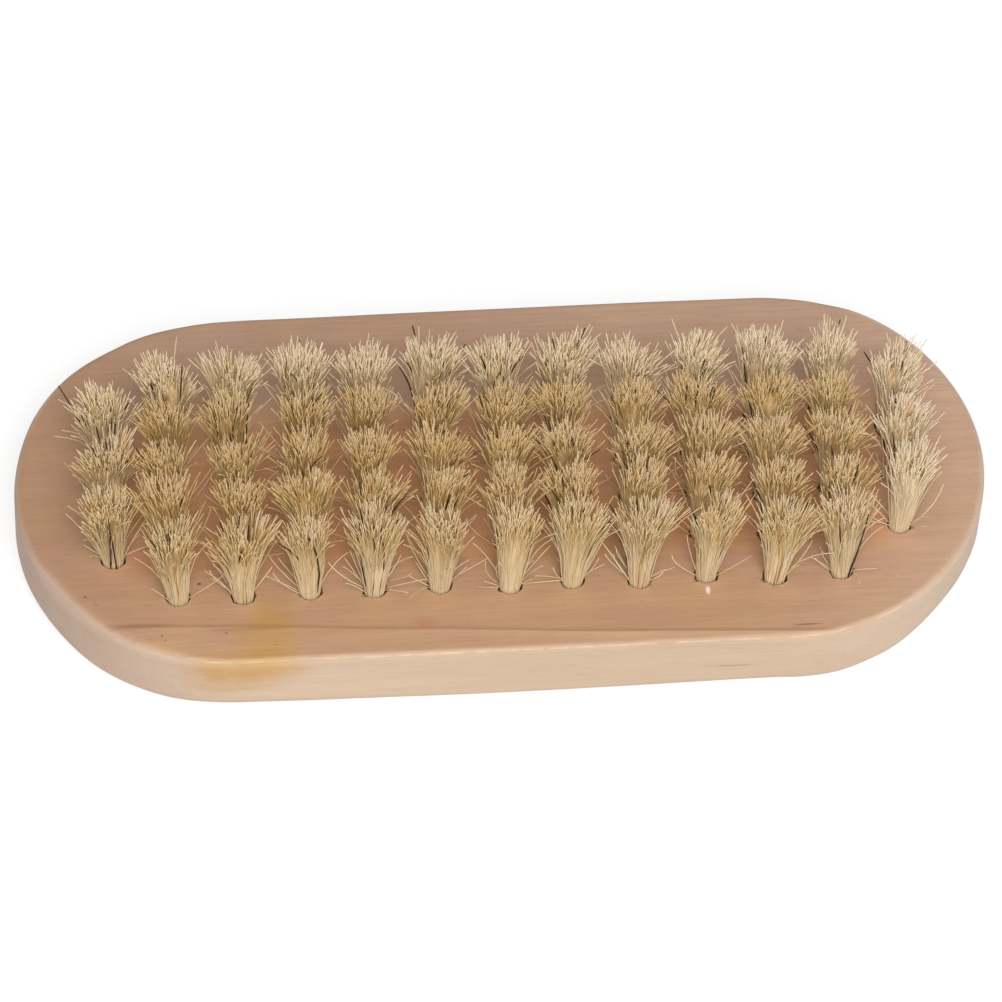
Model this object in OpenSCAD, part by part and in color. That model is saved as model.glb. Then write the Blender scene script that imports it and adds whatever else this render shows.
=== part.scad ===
// Nail brush: a wooden block with rounded ends and blind bores in its face. Each bore
// holds a tuft of natural bristles, folded over a flat wire anchor that bites into the
// wood. Lengths are in millimetres. X runs along the block, Y across it and Z up out of
// the bristle face. The origin is in the middle of the flat back.

/* [Wooden block] */
// Length over the two rounded ends
block_l = 120; // [110:1:160]
// Width, which is also the diameter of the rounded ends
block_w = 53; // [48:1:75]
// Thickness from the flat back to the bristle face
block_t = 10; // [8:0.5:18]
// Rounding of the edge around the bristle face
face_edge_r = 0.8; // [0.2:0.1:2]
// Rounding of the edge around the flat back
back_edge_r = 1.5; // [0.2:0.1:2]

/* [Bores] */
// Diameter of each bore
bore_d = 3.0; // [2.6:0.1:4]
// Wood left under each bore
bore_floor = 3; // [2:0.5:5]

/* [Tuft field] */
// Columns of tufts along the block, not counting the two end columns
columns = 11; // [9:1:13]
// Tufts in each of these columns
tufts_in_column = 5; // [3:1:5]
// Tufts in each end column
tufts_in_end = 3; // [1:1:3]
// From each end of the block to the middle of its end column
end_margin = 11.7; // [10:0.1:16]
// Spacing of the tufts along a column
row_pitch = 6.2; // [5:0.1:6.6]
// Spacing of the tufts along an end column
end_row_pitch = 7.6; // [5.5:0.1:9]
// From the middle of the block to the middle of the columns, towards the far side
field_shift = -4.1; // [-5:0.1:5]
// The end columns sit this much further towards the far side
end_shift = 1.3; // [-2:0.1:2]
// Each row sits this much further along the block than the one nearer to the front
row_drift = 0.05; // [-0.5:0.05:0.5]

/* [Bristles] */
// Height of the longest bristles above the face
bristle_h = 15.5; // [8:0.5:25]
// Strands that stand for the bristles of one tuft
strands = 8; // [5:1:8]
// Radius of a strand at its fullest, below its tip
strand_full_r = 0.62; // [0.3:0.01:0.65]
// Radius of a strand at its tip
strand_tip_r = 0.14; // [0.05:0.01:0.3]
// The slanting cut of a tip lifts its sharp corner by this much
tip_slant = 0.3; // [0:0.1:0.6]
// Play between the folded root of a tuft and its bore
root_play = 0.1; // [0.05:0.05:0.3]
// The folded root ends this far below the face
root_recess = 0.4; // [0.2:0.1:1]

/* [Wire anchors] */
// Thickness of the flat wire
anchor_t = 0.35; // [0.2:0.05:0.6]
// Height of the flat wire
anchor_h = 1.5; // [0.8:0.1:2]
// How far each end of the anchor bites into the wall of the bore
anchor_bite = 0.4; // [0.2:0.1:0.6]
// Thickness of the bristle fold under the anchor
fold_t = 0.9; // [0.5:0.1:1.5]

/* [Hidden] */
// Columns stray from even spacing by these shares of their pitch, from left to right
column_drift_share = [-0.05, -0.07, -0.06, -0.08, -0.09, -0.03, -0.08, -0.06, -0.04, 0, 0.02];
// Columns lie nearer to the front by these shares of the spacing of their tufts
column_near_share = [-0.02, 0.01, -0.03, -0.01, -0.03, 0.05, -0.01, 0.06, 0, 0.13, 0.05];
// Tips reach out to these shares of the spacing along and across the block
spread_x_share = 0.46;
spread_y_share = 0.45;
// Feet of the outer strands, as a share of the radius of the folded root
foot_share = 0.62;
// Thickness of a strand at its foot, as a share of the room between two feet
foot_fill_share = 0.9;
// Strands are at their fullest at this share of their length
full_share = 0.8;
// The shortest strand loses this share of the height
trim_share = 0.1;
// Lengths take this many steps between the longest strand and the shortest
trim_steps = 4;
// Strands start this far below the top of the folded root
strand_bury = 0.8;
// Cutting tools run this far past the face
overrun = 1;
// Turn from one tuft to the next, so that no two look alike
tuft_turn = 67;
strand_sides = 3;
root_sides = 8;
curve_fn = 64;

end_r = block_w / 2;
bore_r = bore_d / 2;
bore_depth = block_t - bore_floor;
end_x = block_l / 2 - end_margin;
column_pitch = 2 * end_x / (columns + 1);
root_r = bore_r - root_play;
root_top = block_t - root_recess;
foot_r = foot_share * root_r;
foot_turn = 360 / (strands - 1);
strand_foot_r = foot_fill_share * foot_r * sin(foot_turn / 2);
reach_x = spread_x_share * column_pitch - strand_tip_r;
reach_y = spread_y_share * row_pitch - strand_tip_r;
anchor_l = bore_d + 2 * anchor_bite;
anchor_z = bore_floor + fold_t;

function column_drift(c) = column_drift_share[(c - 1) % len(column_drift_share)];
function column_near(c) = column_near_share[(c - 1) % len(column_near_share)];
function is_end(c) = c == 0 || c == columns + 1;
function tufts_at(c) = is_end(c) ? tufts_in_end : tufts_in_column;
function pitch_at(c) = is_end(c) ? end_row_pitch : row_pitch;
function shift_at(c) = field_shift + (is_end(c) ? end_shift : -column_near(c) * row_pitch);
function stray_at(c) = is_end(c) ? 0 : column_drift(c) * column_pitch;
function column_x(c) = c * column_pitch - end_x + stray_at(c);

// Middle of tuft t of column c on the face, counted from the near side
function tuft_at(c, t) =
    let (steps = t - (tufts_at(c) - 1) / 2)
    [column_x(c) + steps * row_drift, shift_at(c) + steps * pitch_at(c)];

COLUMNS = [0 : columns + 1];
function two_digits(c) = str(c < 10 ? "0" : "", c);
function column_name(c) = c == 0 ? "left_end" : c == columns + 1 ? "right_end" : two_digits(c);

// Puts its children at the middle of each tuft of column c
module at_tufts(c) {
    for (t = [0 : tufts_at(c) - 1]) {
        place = tuft_at(c, t);
        translate([place.x, place.y, 0]) children();
    }
}

// Cross-section of the block on both sides of X = 0, with its four rounded edges
module block_section(half_w) {
    flat_w = half_w - max(face_edge_r, back_edge_r);
    translate([-flat_w, 0]) square([2 * flat_w, block_t]);
    translate([-half_w, back_edge_r]) square([2 * half_w, block_t - back_edge_r - face_edge_r]);
    for (side = [-1, 1]) {
        translate([side * (half_w - face_edge_r), block_t - face_edge_r])
            circle(r = face_edge_r, $fn = curve_fn);
        translate([side * (half_w - back_edge_r), back_edge_r])
            circle(r = back_edge_r, $fn = curve_fn);
    }
}

// One rounded end, past X = 0: half of the section turned half a turn about Z
module block_end() {
    rotate([0, 0, -90])
        rotate_extrude(angle = 180, $fn = curve_fn)
            intersection() {
                block_section(end_r);
                square([end_r, block_t]);
            }
}

module block_body() {
    straight_l = block_l - block_w;
    for (side = [0, 1])
        mirror([side, 0, 0]) translate([straight_l / 2, 0, 0]) block_end();
    rotate([90, 0, 90])
        linear_extrude(height = straight_l, center = true) block_section(end_r);
}

// The flat wire of one anchor, lying across its bore
module anchor() {
    translate([-anchor_t / 2, -anchor_l / 2, anchor_z]) cube([anchor_t, anchor_l, anchor_h]);
}

module bore() {
    translate([0, 0, bore_floor]) cylinder(r = bore_r, h = bore_depth + overrun, $fn = curve_fn);
}

module wooden_block() {
    color("BurlyWood")
        difference() {
            block_body();
            for (c = COLUMNS) at_tufts(c) {
                bore();
                anchor();
            }
        }
}

// Corners of a ring round a centre. The cut lifts the first corner and drops the others.
function ring(centre, r, turn, lift) = [
    for (k = [0 : strand_sides - 1])
        let (around = k * 360 / strand_sides)
        centre + [r * cos(turn + around), r * sin(turn + around), lift * cos(around)]
];

// Triangles of a strand of three rings, with one end cap below and one above
strand_faces = concat(
    [[0, 1, 2], [8, 7, 6]],
    [for (level = [0, strand_sides], k = [0 : strand_sides - 1])
        let (next = (k + 1) % strand_sides)
        [level + k, level + k + strand_sides, level + next + strand_sides]],
    [for (level = [0, strand_sides], k = [0 : strand_sides - 1])
        let (next = (k + 1) % strand_sides)
        [level + k, level + next + strand_sides, level + next]]
);

// Strand k of a tuft. The first stands in the middle and the others lean out all round
// it, each along its own ray, so that none can cross.
module strand(k, turn) {
    angle = turn + k * foot_turn;
    out = k == 0 ? 0 : 1;
    trim = trim_share * (k % trim_steps) / (trim_steps - 1);
    foot_z = root_top - strand_bury;
    tip_z = block_t + bristle_h * (1 - trim) - tip_slant;
    foot = [out * foot_r * cos(angle), out * foot_r * sin(angle), foot_z];
    tip = [out * reach_x * cos(angle), out * reach_y * sin(angle), tip_z];
    full = foot + full_share * (tip - foot);
    polyhedron(
        points = concat(
            ring(foot, strand_foot_r, angle, 0),
            ring(full, strand_full_r, angle, 0),
            ring(tip, strand_tip_r, angle, tip_slant)
        ),
        faces = strand_faces
    );
}

// The packed bristles inside the bore, folded under and round the anchor
module folded_root() {
    difference() {
        translate([0, 0, bore_floor])
            cylinder(r = root_r, h = root_top - bore_floor, $fn = root_sides);
        anchor();
    }
}

module tufts(c) {
    color("Wheat")
        for (t = [0 : tufts_at(c) - 1]) {
            place = tuft_at(c, t);
            turn = tuft_turn * (c * tufts_in_column + t);
            translate([place.x, place.y, 0]) {
                folded_root();
                for (k = [0 : strands - 1]) strand(k, turn);
            }
        }
}

module anchors(c) {
    color("Silver") at_tufts(c) anchor();
}

wooden_block();
for (c = COLUMNS) {
    tufts(c);
    anchors(c);
}
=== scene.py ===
# %% [markdown]
# # A nail brush, dressed in its real materials
#
# The object is a small scrubbing brush: a flat block of pale wood with rounded ends, 61
# blind bores in its face, and in every bore a tuft of natural bristles folded over a
# flat wire anchor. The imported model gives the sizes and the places. This lesson adds the
# wood, the wire and some eighteen thousand bristle ends, lights them and sets the camera.

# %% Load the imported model
import math

import bpy
import numpy as np
from mathutils import Matrix, Vector


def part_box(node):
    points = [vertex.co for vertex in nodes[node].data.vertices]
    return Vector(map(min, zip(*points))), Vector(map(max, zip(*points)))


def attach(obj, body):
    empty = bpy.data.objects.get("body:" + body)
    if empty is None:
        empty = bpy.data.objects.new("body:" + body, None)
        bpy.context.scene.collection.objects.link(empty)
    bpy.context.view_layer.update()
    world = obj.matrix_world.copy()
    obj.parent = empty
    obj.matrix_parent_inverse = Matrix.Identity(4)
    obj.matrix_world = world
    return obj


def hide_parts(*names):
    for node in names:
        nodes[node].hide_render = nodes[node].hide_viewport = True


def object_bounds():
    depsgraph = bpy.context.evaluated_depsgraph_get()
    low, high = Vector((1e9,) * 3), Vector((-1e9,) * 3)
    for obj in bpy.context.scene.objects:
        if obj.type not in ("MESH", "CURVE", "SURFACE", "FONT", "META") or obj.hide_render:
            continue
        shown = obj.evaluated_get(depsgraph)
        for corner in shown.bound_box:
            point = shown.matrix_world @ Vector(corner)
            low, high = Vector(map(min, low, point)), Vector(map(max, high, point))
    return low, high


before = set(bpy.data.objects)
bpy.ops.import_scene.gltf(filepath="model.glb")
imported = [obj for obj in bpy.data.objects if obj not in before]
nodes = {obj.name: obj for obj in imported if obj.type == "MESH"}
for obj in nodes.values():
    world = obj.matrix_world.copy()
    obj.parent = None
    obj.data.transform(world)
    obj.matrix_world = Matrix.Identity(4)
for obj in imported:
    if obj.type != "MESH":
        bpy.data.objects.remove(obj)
cad_low, cad_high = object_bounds()
MM = 0.001
print("CAD box in mm:", [round(v / MM, 2) for v in (*cad_low, *cad_high)])


def in_scene(name, data):
    """A new object that shows a mesh, a lamp or a camera."""
    made = bpy.data.objects.new(name, data)
    bpy.context.scene.collection.objects.link(made)
    return made


def directions(angle):
    """Arrows of length 1 at these angles: their X and Y, cosine and sine."""
    return np.stack([np.cos(angle), np.sin(angle)], axis=-1)


# %% [markdown]
# ## The camera
#
# The photograph looks down on the brush from a little over half way up, from far enough
# for the block to narrow only slightly towards the back. A camera can be placed by eye,
# but a placement by angles is easier to adjust: where the lens looks, from how high, how
# far round and how far away. The picture is also turned by a few degrees, because the
# hand that held the camera was. The lens then gives the brush its width in the frame.

# %% Camera
ELEVATION = math.radians(54)
AROUND = math.radians(-7.54)
TILT = math.radians(3.53)
DISTANCE = 0.8
FOCUS_PIXELS = 6487.5
FRAME_PIXELS = 1002
SENSOR_MM = 36
SIDEWAYS = -0.063 * MM
UPWARDS = -3.427 * MM

face_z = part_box("wooden_block")[1].z
back = Vector((
    math.sin(AROUND) * math.cos(ELEVATION),
    -math.cos(AROUND) * math.cos(ELEVATION),
    math.sin(ELEVATION),
))
level = Vector((math.cos(AROUND), math.sin(AROUND), 0))
upright = back.cross(level)
right = math.cos(TILT) * level + math.sin(TILT) * upright
up = math.cos(TILT) * upright - math.sin(TILT) * level
lens = bpy.data.cameras.new("camera")
lens.sensor_width = SENSOR_MM
lens.lens = FOCUS_PIXELS * SENSOR_MM / FRAME_PIXELS
lens.clip_end = 50
camera = in_scene("camera", lens)
place = Vector((0, 0, face_z)) + DISTANCE * back + SIDEWAYS * right + UPWARDS * up
turn = Matrix((right, up, back)).transposed().to_4x4()
camera.matrix_world = Matrix.Translation(place) @ turn
bpy.context.scene.camera = camera
print("lens", round(lens.lens, 1), "mm, camera at", [round(v, 3) for v in place])

# %% [markdown]
# ## Small helpers for shader nodes
#
# A material is a graph, and most of its nodes do one sum each. Written out in full, the
# graph would hide what it is for, so a few helpers add a node and wire it in one line.
# Colours are written as they look on a screen, from 0 to 255, and turned into the linear
# values that the renderer adds up. The last helper numbers the faces of a tube, which the
# block, the bristles and their hearts all are.


# %% Node helpers
def paint(red, green, blue):
    """A screen colour, 0 to 255, as linear light: the inverse of the screen's curve."""
    share = np.array([red, green, blue]) / 255
    linear = np.where(share <= 0.04045, share / 12.92, ((share + 0.055) / 1.055) ** 2.4)
    return (*linear.tolist(), 1)


def wire_up(tree, node, inputs):
    """Gives each input of a node a value, or wires it to an output."""
    for key, value in inputs.items():
        if isinstance(value, bpy.types.NodeSocket):
            tree.links.new(value, node.inputs[key])
        else:
            node.inputs[key].default_value = value


def add(tree, kind, inputs=None, **settings):
    """Adds one node with its settings and inputs."""
    made = tree.nodes.new("ShaderNode" + kind)
    for name, value in settings.items():
        setattr(made, name, value)
    wire_up(tree, made, inputs or {})
    return made


def sum_of(tree, operation, *values, clamp=False):
    """The result of one Math node."""
    wired = dict(enumerate(values))
    return add(tree, "Math", wired, operation=operation, use_clamp=clamp).outputs[0]


def product(tree, first, second):
    """Two numbers multiplied."""
    return sum_of(tree, "MULTIPLY", first, second)


def axes_of(tree, place):
    """X, Y and Z of a place, each as a number."""
    return add(tree, "SeparateXYZ", {0: place}).outputs


def attribute(tree, label):
    """The number that the mesh keeps under a label."""
    return add(tree, "Attribute", attribute_name=label).outputs["Fac"]


def vector_of(tree, operation, *values):
    """The result of one Vector Math node: a vector, or the number for LENGTH."""
    made = add(tree, "VectorMath", dict(enumerate(values)), operation=operation)
    return made.outputs["Value" if operation == "LENGTH" else "Vector"]


def mixed(tree, share, first, second, way="MIX"):
    """Two colours mixed by a share from 0 to 1."""
    inputs = {0: share, 6: first, 7: second}
    return add(tree, "Mix", inputs, data_type="RGBA", blend_type=way).outputs[2]


def ramp(tree, value, low, high, start=0.0, end=1.0, smooth=False):
    """Maps low..high to start..end and holds the value outside them."""
    way = "SMOOTHSTEP" if smooth else "LINEAR"
    inputs = {"Value": value, 1: low, 2: high, 3: start, 4: end}
    return add(tree, "MapRange", inputs, interpolation_type=way, clamp=True).outputs[0]


def streaks(tree, place, scale, detail=3.0, roughness=0.55, warp=0.0):
    """Noise over a place that was stretched by scale, in features per metre."""
    stretched = vector_of(tree, "MULTIPLY", place, scale)
    inputs = {"Vector": stretched, "Scale": 1.0, "Detail": detail, "Roughness": roughness}
    inputs["Distortion"] = warp
    return add(tree, "TexNoise", inputs, noise_dimensions="3D").outputs["Fac"]


def new_group(name, inputs, outputs):
    """A shader node group with named sockets, and its own input and output nodes."""
    kinds = {"v": "NodeSocketVector", "f": "NodeSocketFloat", "c": "NodeSocketColor"}
    tree = bpy.data.node_groups.new(name, "ShaderNodeTree")
    for label, kind in inputs.items():
        tree.interface.new_socket(label, in_out="INPUT", socket_type=kinds[kind])
    for label, kind in outputs.items():
        tree.interface.new_socket(label, in_out="OUTPUT", socket_type=kinds[kind])
    return tree, tree.nodes.new("NodeGroupInput").outputs, tree.nodes.new("NodeGroupOutput")


def placed_group(tree, group, inputs):
    """Places a group in a material's tree and gives its outputs."""
    made = tree.nodes.new("ShaderNodeGroup")
    made.node_tree = group
    wire_up(tree, made, inputs)
    return made.outputs


def new_material(name):
    """An empty material, with its tree and its Principled shader."""
    material = bpy.data.materials.new(name)
    material.use_nodes = True
    shader = material.node_tree.nodes["Principled BSDF"]
    return material, material.node_tree, shader


def plug(tree, output, socket):
    """Wires an output to an input socket."""
    tree.links.new(output, socket)


def add_bump(tree, shader, height, strength, distance):
    """Lets a pattern raise and sink the surface a little, in the shading only."""
    inputs = {"Height": height, "Strength": strength, "Distance": distance}
    plug(tree, add(tree, "Bump", inputs).outputs["Normal"], shader.inputs["Normal"])


def ring_faces(rings, sides):
    """Four corners of each face between rings of points, numbered ring by ring."""
    ring = np.arange(rings - 1)[:, None] * sides
    here = np.arange(sides)[None, :]
    after = (here + 1) % sides
    corners = [ring + here, ring + after, ring + sides + after, ring + sides + here]
    return np.stack(corners, axis=-1).reshape(-1, 4)


# %% [markdown]
# ## Light
#
# The photograph has soft light. The wood behind and between the tufts is hardly darker
# than the open wood, and darker to the left of a tuft than to its right. So the main
# light stands in front, as high as the camera and a little to its right. A square
# lamp gives it, and a plain pale world fills the rest. Together they come to about the
# light at which a colour renders as it is written. Rays from the camera, and those that a
# shiny surface sends out, meet a white background instead.

# %% World
WORLD_LIGHT = 0.35
WHITE = (1, 1, 1, 1)


def seen_directly(tree):
    """1 for rays from the camera or from a shiny surface, and 0 for the others."""
    rays = add(tree, "LightPath").outputs
    return sum_of(tree, "MAXIMUM", rays["Is Camera Ray"], rays["Is Glossy Ray"])


scene = bpy.context.scene
scene.view_settings.view_transform = "Standard"
world = bpy.data.worlds.new("world")
world.use_nodes = True
scene.world = world
sky = world.node_tree
sky.nodes.clear()
fill = add(sky, "Background", {"Color": WHITE, "Strength": WORLD_LIGHT}).outputs[0]
white = add(sky, "Background", {"Color": WHITE, "Strength": 1.0}).outputs[0]
either = add(sky, "MixShader", {0: seen_directly(sky), 1: fill, 2: white}).outputs[0]
add(sky, "OutputWorld", {"Surface": either})


# %% Lamps
def lamp(name, azimuth, elevation, distance, size, power):
    """A square area lamp that faces the block. Azimuth 0 is in front, 90 to the right."""
    data = bpy.data.lights.new(name, "AREA")
    data.shape = "SQUARE"
    data.size = size
    data.energy = power
    made = in_scene(name, data)
    a, e = math.radians(azimuth), math.radians(elevation)
    away = Vector((math.sin(a) * math.cos(e), -math.cos(a) * math.cos(e), math.sin(e)))
    made.location = away * distance
    made.rotation_euler = away.to_track_quat("Z", "Y").to_euler()
    return made


lamp("front_lamp", azimuth=2, elevation=54, distance=1.1, size=0.6, power=10.0)

# %% [markdown]
# ## Floor
#
# The brush lies on its back, so the floor is a plain sheet at the height of the flat
# back. It must look white and still hold a soft shadow. A white surface that only
# scatters light would render grey where the light is weak, so for rays from the camera
# part of its white is its own, and the rest is light that it scatters.

# %% Floor
FLOOR_SIZE = 6.0
FLOOR_DROP = 0.02 * MM
FLOOR_OWN_WHITE = 0.72
FLOOR_GREY = (0.8, 0.8, 0.8, 1)
FLOOR_SCATTER = (0.34, 0.34, 0.34, 1)
corners = np.array([[-1, -1, 0], [1, -1, 0], [1, 1, 0], [-1, 1, 0]]) * FLOOR_SIZE / 2
corners[:, 2] = -FLOOR_DROP
sheet = bpy.data.meshes.new("floor")
sheet.from_pydata(corners.tolist(), [], [[0, 1, 2, 3]])
floor = in_scene("floor", sheet)

pale, tree, scatter = new_material("pale_floor")
tree.nodes.remove(scatter)
plain = add(tree, "BsdfDiffuse", {"Color": FLOOR_GREY}).outputs[0]
faint = add(tree, "BsdfDiffuse", {"Color": FLOOR_SCATTER}).outputs[0]
own = add(tree, "Emission", {"Color": WHITE, "Strength": FLOOR_OWN_WHITE}).outputs[0]
shown = add(tree, "AddShader", {0: faint, 1: own}).outputs[0]
surface = add(tree, "MixShader", {0: seen_directly(tree), 1: plain, 2: shown}).outputs[0]
plug(tree, surface, tree.nodes["Material Output"].inputs["Surface"])
sheet.materials.append(pale)

# %% [markdown]
# ## Where the bores are
#
# Each tuft grows out of a bore, and each bore holds one wire anchor right across its
# middle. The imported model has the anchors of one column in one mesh, so their places can
# be measured there, and no place has to be typed again. Along a column the anchors don't
# touch: their ends, sorted by Y, come in pairs, and each pair is one anchor.


# %% Measure the bores
def mesh_points(obj):
    """All the corners of a mesh, as an array of rows."""
    points = np.empty(len(obj.data.vertices) * 3)
    obj.data.vertices.foreach_get("co", points)
    return points.reshape(-1, 3)


def bore_places(node):
    """Middle of each bore of a column: the mean of its anchor's two ends, and its X."""
    points = mesh_points(node)
    ends = np.unique(points[:, 1].round(6)).reshape(-1, 2)
    inside = np.abs(points[:, None, 1] - ends[None, :, 0]) < 1e-5
    x = (points[:, None, 0] * inside).sum(axis=0) / inside.sum(axis=0)
    return np.stack([x, ends.mean(axis=1)], axis=1)


columns = [name.removeprefix("anchors_") for name in nodes if name.startswith("anchors_")]
bores = {name: bore_places(nodes["anchors_" + name]) for name in columns}
columns.sort(key=lambda name: bores[name][0, 0])
print(len(columns), "columns,", sum(len(b) for b in bores.values()), "bores")
print("bores of column 01 in mm:", (bores["01"] / MM).round(2).tolist())

# %% [markdown]
# ## Patterns that more than one material needs
#
# Wood, wire and bristle all have the same two flaws: their colour drifts in soft patches,
# and dirt settles unevenly. Both are the same soft patchy mask at another size, so it is
# one node group with the place, the size and the contrast as its sockets.

# %% Patch group
patch_group, given, result = new_group(
    "soft_patches", {"Vector": "v", "Stretch": "v", "Contrast": "f"}, {"Mask": "f"}
)
tree = patch_group
spread = vector_of(tree, "MULTIPLY", given["Vector"], given["Stretch"])
cloud = add(tree, "TexNoise", {"Vector": spread, "Scale": 1.0, "Detail": 2.0})
centred = sum_of(tree, "SUBTRACT", cloud.outputs["Fac"], 0.5)
raised = sum_of(tree, "MULTIPLY_ADD", centred, given["Contrast"], 0.5, clamp=True)
plug(tree, raised, result.inputs["Mask"])


def soft_patches(tree, place, stretch, contrast):
    """Places the patch group and gives its mask."""
    inputs = {"Vector": place, "Stretch": stretch, "Contrast": contrast}
    return placed_group(tree, patch_group, inputs)["Mask"]


# %% [markdown]
# ## The wood
#
# The block looks like beech: pale, fine, with short dark flecks and hardly any rings. Its
# grain runs along the block. The bristle face has darkened to a warm tan, and the sawn
# side is paler: partly its own colour, partly painted light from the front. One long
# growth line runs beside the near edge, at a slight slant.
#
# A picture of wood could be stretched over the block, but it would smear at the ends.
# Noise in three dimensions, drawn out along X, cuts right in every direction: streaks on
# the face and the sides, and dots where the ends cut across the grain.

# %% Growth line group
line_group, given, result = new_group(
    "growth_lines",
    {"Vector": "v", "Spacing": "f", "Offset": "f", "Slant": "f"},
    {"Late wood": "f", "Early wood": "f", "Line": "f"},
)
tree = line_group
wander = vector_of(tree, "MULTIPLY", given["Vector"], (22.0, 22.0, 22.0))
wave = add(tree, "TexNoise", {"Vector": wander, "Scale": 1.0, "Detail": 1.0}).outputs["Fac"]
axes = axes_of(tree, given["Vector"])
tilted = sum_of(tree, "MULTIPLY_ADD", axes["X"], given["Slant"], axes["Y"])
tilted = sum_of(tree, "MULTIPLY_ADD", wave, 2.2 * MM, tilted)
tilted = sum_of(tree, "ADD", tilted, given["Offset"])
steps = sum_of(tree, "FRACT", sum_of(tree, "DIVIDE", tilted, given["Spacing"]))
late = sum_of(tree, "POWER", sum_of(tree, "SUBTRACT", 1.0, steps), 14.0)
thin = ramp(tree, steps, 0.0, 0.004, smooth=True)
thin = product(tree, thin, ramp(tree, steps, 0.004, 0.011, 1.0, 0.0))
plug(tree, late, result.inputs["Late wood"])
plug(tree, ramp(tree, steps, 0.97, 0.997, smooth=True), result.inputs["Early wood"])
plug(tree, thin, result.inputs["Line"])

# %% [markdown]
# Stains, specks and worn corners are single marks. A stain is a soft blob: the distance
# from its middle, counted in its own radii, is 0 in the middle and 1 at its rim.

# %% Spot group
spot_group, given, result = new_group(
    "soft_spot", {"Vector": "v", "Middle": "v", "Radii": "v", "Softness": "f"}, {"Mask": "f"}
)
tree = spot_group
away = vector_of(tree, "SUBTRACT", given["Vector"], given["Middle"])
away = vector_of(tree, "DIVIDE", away, given["Radii"])
far = vector_of(tree, "LENGTH", away)
rim = sum_of(tree, "SUBTRACT", 1.0, given["Softness"])
spot_mask = ramp(tree, far, rim, 1.0, 1.0, 0.0, smooth=True)
plug(tree, spot_mask, result.inputs["Mask"])

# %% [markdown]
# The outline of the block is a straight run with half a circle at each end. The distance
# in from that outline is half the width less the distance from the block's middle line:
# beyond the straight run, X counts too. Near the face it finds the rounded edge.

# %% Edge group
edge_group, given, result = new_group(
    "from_outline", {"Vector": "v", "Straight": "f", "Half width": "f"}, {"Depth": "f"}
)
tree = edge_group
axes = axes_of(tree, given["Vector"])
past = sum_of(tree, "SUBTRACT", sum_of(tree, "ABSOLUTE", axes["X"]), given["Straight"])
past = sum_of(tree, "MAXIMUM", past, 0.0)
squares = product(tree, past, past)
squares = sum_of(tree, "MULTIPLY_ADD", axes["Y"], axes["Y"], squares)
depth = sum_of(tree, "SUBTRACT", given["Half width"], sum_of(tree, "SQRT", squares))
plug(tree, depth, result.inputs["Depth"])

# %% Sizes of the block
block_low, block_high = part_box("wooden_block")
half_width = (block_high.y - block_low.y) / 2
straight = (block_high.x - block_low.x) / 2 - half_width
print("half width and straight half in mm:", [round(v / MM, 2) for v in (half_width, straight)])

# %% [markdown]
# The wood's material adds these up: the tan of the face, a soft mottling, the pale side,
# the grain with its growth line, streaks and flecks, then the worn corner with its painted
# highlight, the stains and the specks. Between the tufts the wood is painted a little
# redder and lighter: painted bounce light from the bristles, lifting the shade there.

# %% Wood material
FACE_TAN = paint(197, 162, 130)
FACE_FAR = paint(186, 159, 140)
FACE_SHADED_LEFT = paint(168, 136, 112)
FACE_LIT_RIGHT = paint(208, 177, 154)
FACE_LIT_FAR_RIGHT = paint(210, 183, 166)
FIELD_BOUNCE_LIGHT = paint(228, 163, 110)
SIDE_PALE_AND_LIT = paint(220, 195, 169)
SIDE_SHADED_LEFT = paint(198, 174, 156)
SIDE_LIT_RIGHT = paint(226, 202, 178)
LATE_BROWN = paint(162, 118, 86)
FLECK_BROWN = paint(142, 98, 72)
STAIN_ORANGE = paint(248, 226, 192)
STAIN_YELLOW = paint(255, 252, 218)
EARLY_PALE = paint(226, 190, 152)
ROSY_TAN = paint(196, 148, 122)
HONEY_TAN = paint(204, 160, 112)
SPECK_DARK = paint(92, 62, 48)
SPECK_PINK = paint(244, 220, 216)
WORN_PALE_HIGHLIGHT = paint(244, 216, 180)

GROWTH_LINE = {"Spacing": 60 * MM, "Offset": 22.3 * MM, "Slant": 0.054}
FIELD_MIDDLE_Y = -1.5 * MM

wood, tree, shader = new_material("pale_wood")
spot = add(tree, "TexCoord").outputs["Object"]
axes = axes_of(tree, spot)
outline = placed_group(
    tree, edge_group, {"Vector": spot, "Straight": straight, "Half width": half_width}
)["Depth"]

patches = soft_patches(tree, spot, (28.0, 90.0, 90.0), 1.6)
lines = placed_group(tree, line_group, {"Vector": spot, **GROWTH_LINE})
fine = streaks(tree, spot, (130.0, 2600.0, 2600.0), detail=4.0)
broad = streaks(tree, spot, (30.0, 520.0, 520.0), detail=3.0)
fleck_noise = streaks(tree, spot, (420.0, 3600.0, 3600.0), detail=2.0)
flecks = ramp(tree, fleck_noise, 0.58, 0.72)

# The face drifts in tone towards the far side. Lighter to the right and darker to the left
# is painted light and painted shade, as from a light on the right. Amid the tufts it is
# painted redder and lighter: painted bounce light from the bristles
far_share = ramp(tree, axes["Y"], -0.6 * half_width, half_width, smooth=True)
colour = mixed(tree, far_share, FACE_TAN, FACE_FAR)
right_share = ramp(tree, axes["X"], 0.6 * straight, straight + half_width, smooth=True)
colour = mixed(tree, right_share, colour, FACE_LIT_RIGHT)
right_share = ramp(tree, axes["X"], -25 * MM, 55 * MM, 0.0, 0.8, smooth=True)
right_share = product(tree, right_share, far_share)
colour = mixed(tree, right_share, colour, FACE_LIT_FAR_RIGHT)
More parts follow.
